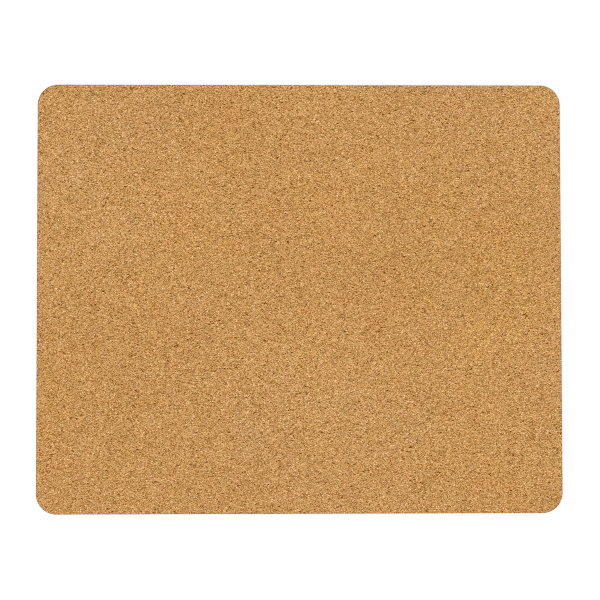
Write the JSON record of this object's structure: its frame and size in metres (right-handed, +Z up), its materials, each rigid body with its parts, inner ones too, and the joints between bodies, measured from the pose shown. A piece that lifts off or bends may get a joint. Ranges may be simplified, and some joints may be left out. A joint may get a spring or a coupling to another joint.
{
  "type": "mouse pad",
  "caption": "Flat mouse pad with round corners: a fine-grain cork working face bonded to a non-slip rubber base that grips the desk.",
  "frame": {"origin": "middle of the underside, on the desk that the pad lies on", "axes": "+Z up through the cork face, +X along the long side, +Y along the short side, away from the user"},
  "size_m": [0.22, 0.18, 0.003],
  "materials": {
    "cork": "sanded fine-grain agglomerated cork, matte",
    "adhesive": "thin translucent bonding film, seen only as a line along the edge",
    "rubber": "matte black rubber with a moulded tread"
  },
  "bodies": {
    "root": {"cork_sheet": "cork", "adhesive_film": "adhesive", "rubber_base": "rubber"}
  },
  "joints": []
}
